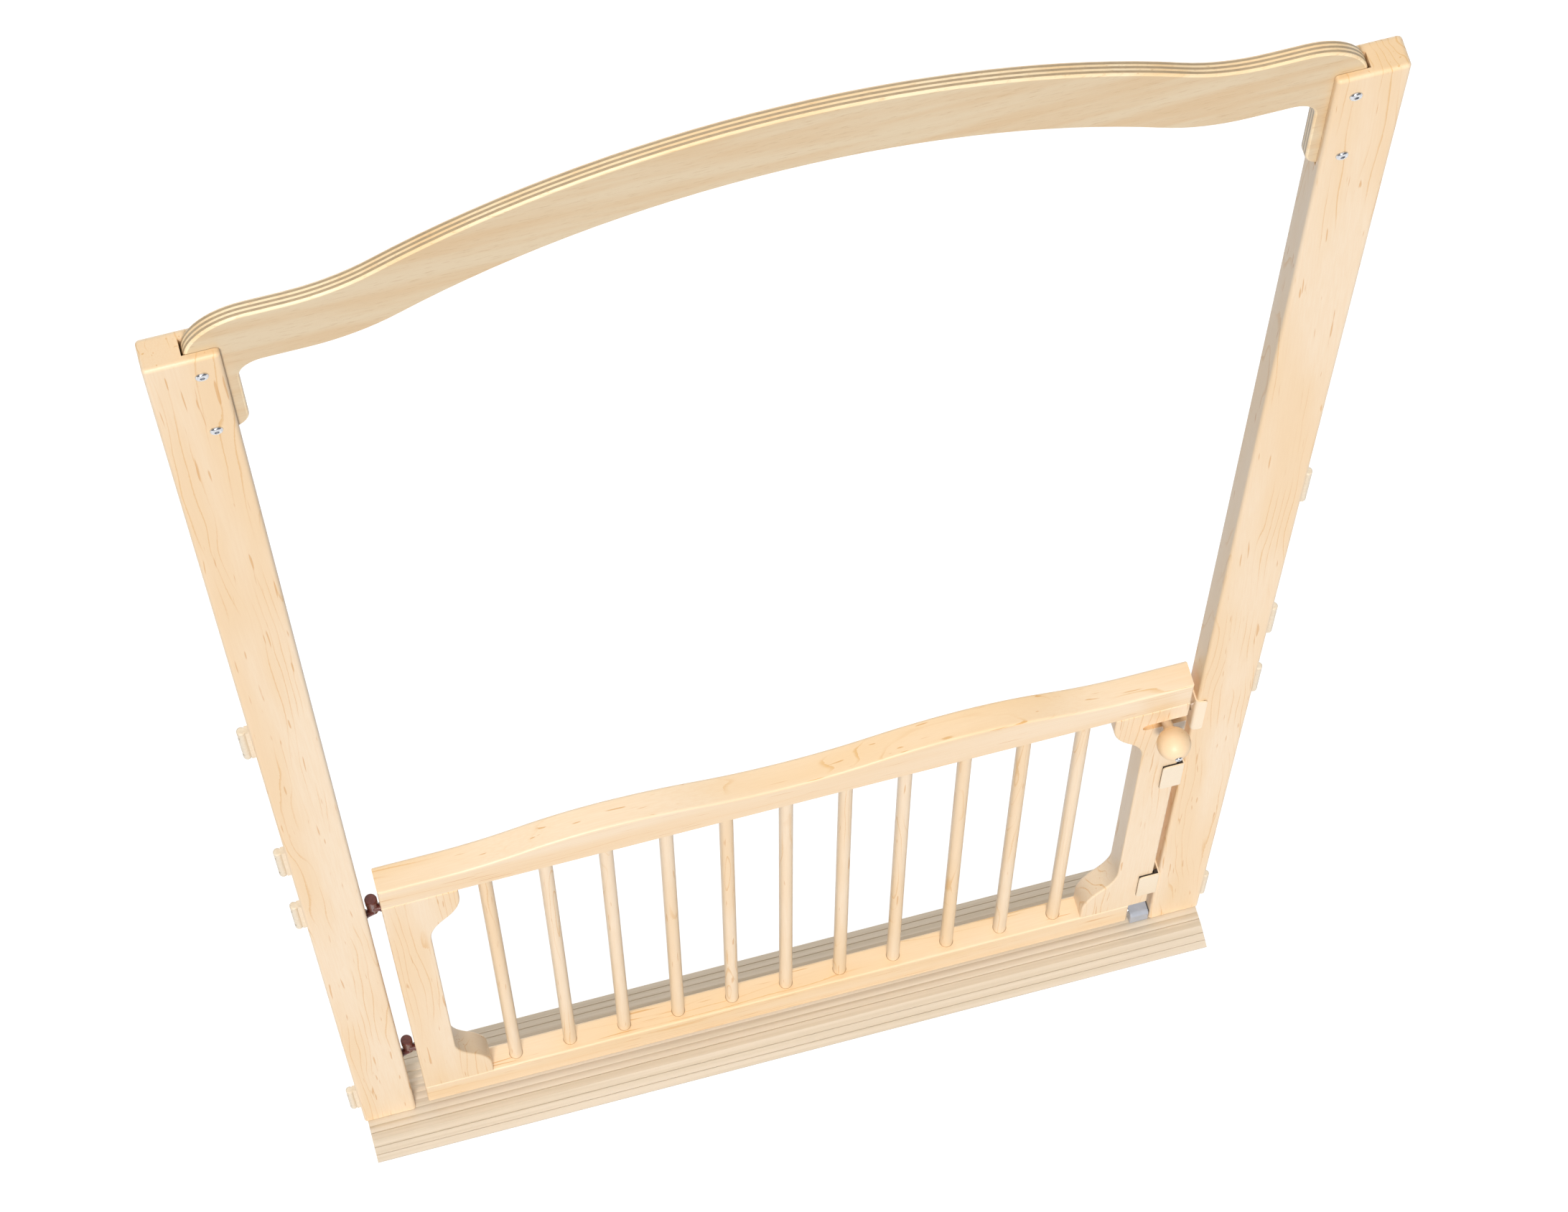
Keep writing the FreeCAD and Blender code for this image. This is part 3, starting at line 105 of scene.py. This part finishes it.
def per(length_mm):
    """Noise scale whose blotches measure about that many millimetres."""
    return 1000.0 / length_mm


# ---- wood -------------------------------------------------------------------------------------------

def maple(name, grain="z", lean=(0.0, 0.0), pith=(0.09, 0.14), ring_mm=8.0, coat=0.2):
    """Hard maple, planed, sanded and clear-lacquered: a pale cream board with faint latewood lines that
    wander along the grain, scattered golden flecks, browner ends, and a low satin shine from the lacquer.

    The pattern is a solid one: rings about a pith outside the board, stretched along the grain.  lean
    tilts the rings against the board in radians, and pith is the pith's distance off in metres.
    """
    material, tree, place = started(name)
    turn = (lean[0], lean[1] + (math.pi / 2 if grain == "x" else 0.0), 0.0)
    board = add(tree, "ShaderNodeMapping", {"Vector": place, "Rotation": turn}).outputs["Vector"]
    long_way, fibre_way, fleck_way = [
        add(tree, "ShaderNodeMapping", {"Vector": board, "Scale": (1.0, 1.0, stretch)}).outputs["Vector"]
        for stretch in (0.12, 0.03, 0.05)]

    # Slow wander of the rings along the board, then rings with a sharp latewood side, which show only
    # in patches.
    wander = add(tree, "ShaderNodeTexNoise", {
        "Vector": long_way, "Scale": per(42), "Detail": 2.0, "Roughness": 0.45})
    drift = add(tree, "ShaderNodeVectorMath", {0: wander.outputs["Color"], 1: (0.5, 0.5, 0.5)},
                operation="SUBTRACT")
    drift = add(tree, "ShaderNodeVectorMath", {0: drift.outputs[0], "Scale": 0.045}, operation="SCALE")
    moved = add(tree, "ShaderNodeVectorMath", {0: long_way, 1: drift.outputs[0]})
    moved = add(tree, "ShaderNodeVectorMath", {0: moved.outputs[0], 1: (pith[0], pith[1], 0.0)})
    rings = add(tree, "ShaderNodeTexWave", {
        "Vector": moved.outputs[0], "Scale": math.pi / 10 / (ring_mm * MM), "Distortion": 0.35,
        "Detail": 1.0, "Detail Scale": 30.0}, wave_type="RINGS", rings_direction="Z", wave_profile="SAW")
    patches = add(tree, "ShaderNodeTexNoise", {"Vector": long_way, "Scale": per(30), "Detail": 1.0})
    late = add(tree, "ShaderNodeMapRange", {
        "Value": rings.outputs["Fac"], "From Min": 0.80, "From Max": 0.98}, **SMOOTH)
    shown = add(tree, "ShaderNodeMapRange", {
        "Value": patches.outputs["Fac"], "From Min": 0.42, "From Max": 0.66}, **SMOOTH)
    lines = add(tree, "ShaderNodeMath", {0: late.outputs[0], 1: shown.outputs[0]}, operation="MULTIPLY")

    # Soft warm stretches, fine fibres, the flecks, and how far the surface faces along the board.
    stretches = add(tree, "ShaderNodeTexNoise", {"Vector": long_way, "Scale": per(60), "Detail": 2.0})
    fibres = add(tree, "ShaderNodeTexNoise", {
        "Vector": fibre_way, "Scale": per(1.6), "Detail": 3.0, "Roughness": 0.6})
    flecks = add(tree, "ShaderNodeTexNoise", {
        "Vector": fleck_way, "Scale": per(3.6), "Detail": 1.0, "Distortion": 0.2})
    flecks = add(tree, "ShaderNodeMapRange", {
        "Value": flecks.outputs["Fac"], "From Min": 0.68, "From Max": 0.77}, **SMOOTH)
    normal = add(tree, "ShaderNodeNewGeometry").outputs["True Normal"]
    normal = add(tree, "ShaderNodeVectorTransform", {"Vector": normal}, vector_type="NORMAL",
                 convert_from="WORLD", convert_to="OBJECT")
    facing = add(tree, "ShaderNodeSeparateXYZ", {"Vector": normal.outputs["Vector"]})
    facing = add(tree, "ShaderNodeMath", {0: facing.outputs[grain.upper()]}, operation="ABSOLUTE")

    # Each pattern, the range of it that shows, how strongly, and the colour it brings.
    layers = []
    for pattern, low, high, most, code in (
            (stretches.outputs["Fac"], 0.35, 0.68, 1.0, "f6d6aa"),
            (fibres.outputs["Fac"], 0.3, 0.7, 0.30, "f2d0a3"),
            (lines.outputs[0], 0.0, 1.0, 0.75, "e8b873"),
            (flecks.outputs[0], 0.0, 1.0, 0.75, "dfa860"),
            (facing.outputs[0], 0.80, 0.98, 0.35, "dcb680")):
        amount = add(tree, "ShaderNodeMapRange", {
            "Value": pattern, "From Min": low, "From Max": high, "To Max": most}, **SMOOTH)
        layers.append((amount.outputs[0], code))
    tone = layered(tree, colour("fae3c4"), layers)
    finished(tree, tone, fibres.outputs["Fac"], 0.2, 0.04,
             Roughness=0.46, Coat_Weight=coat, Coat_Roughness=0.28)
    return material


def birch_plywood(name, back, thickness, plies):
    """Birch plywood, routed and clear-lacquered: its edges show thin layers, light where the veneer's
    fibres run along the edge and greyish brown where their ends show, and its faces show one veneer
    with short fine pores along X."""
    material, tree, place = started(name)
    blotch_way, pore_way, streak_way = [
        add(tree, "ShaderNodeMapping", {"Vector": place, "Scale": stretch}).outputs["Vector"]
        for stretch in ((0.10, 1.0, 1.0), (0.12, 1.0, 1.0), (1.0, 0.5, 1.0))]
    blotches = add(tree, "ShaderNodeTexNoise", {
        "Vector": blotch_way, "Scale": per(22), "Detail": 3.0, "Roughness": 0.55})
    pores = add(tree, "ShaderNodeTexNoise", {
        "Vector": pore_way, "Scale": per(1.7), "Detail": 3.0, "Roughness": 0.65})
    streaks = add(tree, "ShaderNodeTexNoise", {
        "Vector": streak_way, "Scale": per(9), "Detail": 4.0, "Roughness": 0.6})
    blotched = add(tree, "ShaderNodeMapRange", {
        "Value": blotches.outputs["Fac"], "From Min": 0.34, "From Max": 0.68}, **SMOOTH)
    pored = add(tree, "ShaderNodeMapRange", {
        "Value": pores.outputs["Fac"], "From Min": 0.52, "From Max": 0.80, "To Max": 0.65}, **SMOOTH)
    face = layered(tree, colour("ffeac4"), [
        (blotched.outputs[0], "f8d7a6"), (pored.outputs[0], "d9ae72")])
    ends = layered(tree, colour("a48f74"), [(streaks.outputs["Fac"], "c9b08a")])

    # Layer number from the depth; even layers, the faces among them, run along X.
    depth = add(tree, "ShaderNodeSeparateXYZ", {"Vector": place}).outputs["Y"]
    layer = add(tree, "ShaderNodeMath", {0: depth, 1: -back}, operation="ADD")
    layer = add(tree, "ShaderNodeMath", {0: layer.outputs[0], 1: plies / thickness / 2},
                operation="MULTIPLY")
    pair = add(tree, "ShaderNodeMath", {0: layer.outputs[0]}, operation="FRACT").outputs[0]
    across = add(tree, "ShaderNodeMath", {0: pair, 1: 0.5}, operation="GREATER_THAN").outputs[0]
    glue = add(tree, "ShaderNodeMath", {0: pair, 1: 0.5}, operation="PINGPONG").outputs[0]
    glue = add(tree, "ShaderNodeMapRange", {
        "Value": glue, "From Max": 0.05, "To Min": 1.0, "To Max": 0.0}, **SMOOTH).outputs[0]
    glue = add(tree, "ShaderNodeMapRange", {"Value": glue, "To Max": 0.35}, **SMOOTH).outputs[0]
    tone = add(tree, "ShaderNodeMix", {FACTOR: across, FIRST: face, SECOND: ends}, **COLOURS)
    tone = layered(tree, tone.outputs[MIXED], [(glue, "8d7455")])
    finished(tree, tone, pores.outputs["Fac"], 0.25, 0.05,
             Roughness=0.46, Coat_Weight=0.2, Coat_Roughness=0.28)
    return material


# ---- plastics, rubber and metals --------------------------------------------------------------------

def extruded_sill(name):
    """Beige vinyl, extruded: matt, with long faint streaks of tan along its length that the die leaves."""
    material, tree, place = started(name)
    long_way = add(tree, "ShaderNodeMapping", {"Vector": place, "Scale": (0.012, 1.0, 1.0)})
    streaks = add(tree, "ShaderNodeTexNoise", {
        "Vector": long_way.outputs["Vector"], "Scale": per(5.0), "Detail": 3.0, "Roughness": 0.5})
    streaked = add(tree, "ShaderNodeMapRange", {
        "Value": streaks.outputs["Fac"], "From Min": 0.34, "From Max": 0.68}, **SMOOTH)
    tone = layered(tree, colour("dccfbc"), [(streaked.outputs[0], "d2c4ae")])
    finished(tree, tone, streaks.outputs["Fac"], 0.15, 0.05, Roughness=0.55)
    return material


def speckled(name, base, other, grit_mm, roughness, metallic=0.0, coat=0.0, depth_mm=0.03):
    """Even finish with the slight mottle and orange peel of paint, moulding or plating."""
    material, tree, place = started(name)
    grit = add(tree, "ShaderNodeTexNoise", {
        "Vector": place, "Scale": per(grit_mm), "Detail": 3.0, "Roughness": 0.55})
    mottle = add(tree, "ShaderNodeMapRange", {
        "Value": grit.outputs["Fac"], "From Min": 0.3, "From Max": 0.7}, **SMOOTH)
    tone = layered(tree, colour(base), [(mottle.outputs[0], other)])
    finished(tree, tone, grit.outputs["Fac"], 0.3, depth_mm,
             Roughness=roughness, Metallic=metallic, Coat_Weight=coat)
    return material


# Finishes of single pieces, then of every other piece by the name of its material in the frame.
header_low, header_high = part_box("arch_header")
header_thickness = header_high[1] - header_low[1]
header_plies = 7
by_piece = {
    "left_post": maple("maple, left post", lean=(0.0, 0.006), pith=(0.10, 0.16)),
    "right_post": maple("maple, right post", lean=(0.02, 0.045), pith=(-0.05, 0.10)),
    "gate_top_rail": maple("maple, rails", grain="x"),
    "gate_bottom_rail": maple("maple, bottom rail", grain="x"),
    "hinge_stile": maple("maple, stiles"),
    "latch_stile": maple("maple, latch stile"),
    "latch_knob": maple("maple, turned knob", grain="x", ring_mm=4.0, coat=0.05),
    "joint_pegs": maple("maple, pegs"),
    "arch_header": birch_plywood("birch plywood", header_low[1], header_thickness, header_plies),
    "threshold": extruded_sill("extruded vinyl"),
    # The catch's end cover is a real cap that closes the catch's bore. Its dark slate colour is partly
    # painted shadow: it stands in for the shaded gap between the catch and the post.
    "catch_cover": speckled("slate plastic, dark as painted shadow gap", "5d6068", "53565d", 4.0, 0.4),
}
by_slot = {
    "maple": maple("maple, dowels", ring_mm=5.0),
    "connector": speckled("moulded cream plastic", "efe2cc", "e8d8be", 4.0, 0.45),
    "cream_steel": speckled("cream powder coat", "fbe9cd", "f8e5c8", 1.5, 0.36, coat=0.15, depth_mm=0.012),
    "hinge_brown": speckled("brown enamelled steel", "6a332b", "552621", 2.5, 0.34, coat=0.25),
    "catch_grey": speckled("moulded blue-grey plastic", "b0b6c2", "aab1be", 6.0, 0.24, depth_mm=0.01),
    "rubber": speckled("black moulded rubber", "3b3128", "2e2620", 1.2, 0.7),
    "zinc": speckled("bright zinc plate", "dcdde0", "c3c5ca", 2.0, 0.2, metallic=1.0),
    "dark_screw": speckled("black phosphated steel", "2a2624", "1c1918", 1.0, 0.5, metallic=0.6),
    "spring_steel": speckled("drawn spring wire", "8c8d90", "77787b", 1.0, 0.3, metallic=1.0),
}
slot_of = {row["node"]: row["material_slot"] for row in frame["record"]["subparts"]}
for node, piece in frame["nodes"].items():
    piece.data.materials.clear()
    piece.data.materials.append(by_piece.get(node) or by_slot[slot_of[node]])


# ---- floor, light and camera ------------------------------------------------------------------------

def floor():
    """Pale, evenly bright floor, far wider than the view, which throws no light up at the object."""
    corners = [(x * FLOOR_HALF, y * FLOOR_HALF, 0) for x, y in ((-1, -1), (1, -1), (1, 1), (-1, 1))]
    mesh = bpy.data.meshes.new("floor")
    mesh.from_pydata(corners, [], [(0, 1, 2, 3)])
    piece = bpy.data.objects.new("floor", mesh)
    bpy.context.collection.objects.link(piece)
    material, tree, place = started("white floor")
    shader = add(tree, "ShaderNodeBsdfPrincipled", {
        "Roughness": FLOOR_ROUGHNESS, "Base Color": (FLOOR_GREY, FLOOR_GREY, FLOOR_GREY, 1),
        "Emission Color": (1, 1, 1, 1), "Emission Strength": FLOOR_GLOW})
    add(tree, "ShaderNodeOutputMaterial", {"Surface": shader.outputs["BSDF"]})
    mesh.materials.append(material)
    piece.visible_diffuse = False


def outward(bearing, height):
    """Unit vector away from the gate, for a compass bearing and a height in degrees."""
    a, e = math.radians(bearing), math.radians(height)
    return Vector((math.sin(a) * math.cos(e), -math.cos(a) * math.cos(e), math.sin(e)))


def placed(name, data, away):
    """Object that looks back along the vector away, linked to the scene."""
    piece = bpy.data.objects.new(name, data)
    bpy.context.collection.objects.link(piece)
    piece.rotation_mode = "QUATERNION"
    piece.rotation_quaternion = (-away).to_track_quat("-Z", "Y")
    return piece


def studio():
    """Pale surroundings, a large low key light from the front left, and larger ones overhead and behind."""
    world = bpy.data.worlds.new("studio")
    world.use_nodes = True
    background = world.node_tree.nodes["Background"]
    background.inputs["Color"].default_value = colour(SURROUNDINGS)
    background.inputs["Strength"].default_value = SURROUNDINGS_STRENGTH
    bpy.context.scene.world = world
    bpy.context.scene.view_settings.view_transform = "Standard"
    for name, (bearing, height, width, strength, tint) in LAMPS.items():
        light = bpy.data.lights.new(name, "SUN")
        light.angle = math.radians(width)
        light.energy = strength
        light.color = colour(tint)[:3]
        placed(name, light, outward(bearing, height))


def camera():
    """Long lens from high in front and a little to the left, level, turned towards the opening."""
    data = bpy.data.cameras.new("camera")
    data.sensor_width = SENSOR_MM
    data.lens = LENS_MM
    away = outward(BEARING, HEIGHT)
    piece = placed("camera", data, away)
    piece.location = Vector(AIM) + away * DISTANCE
    bpy.context.scene.camera = piece


floor()
studio()
camera()
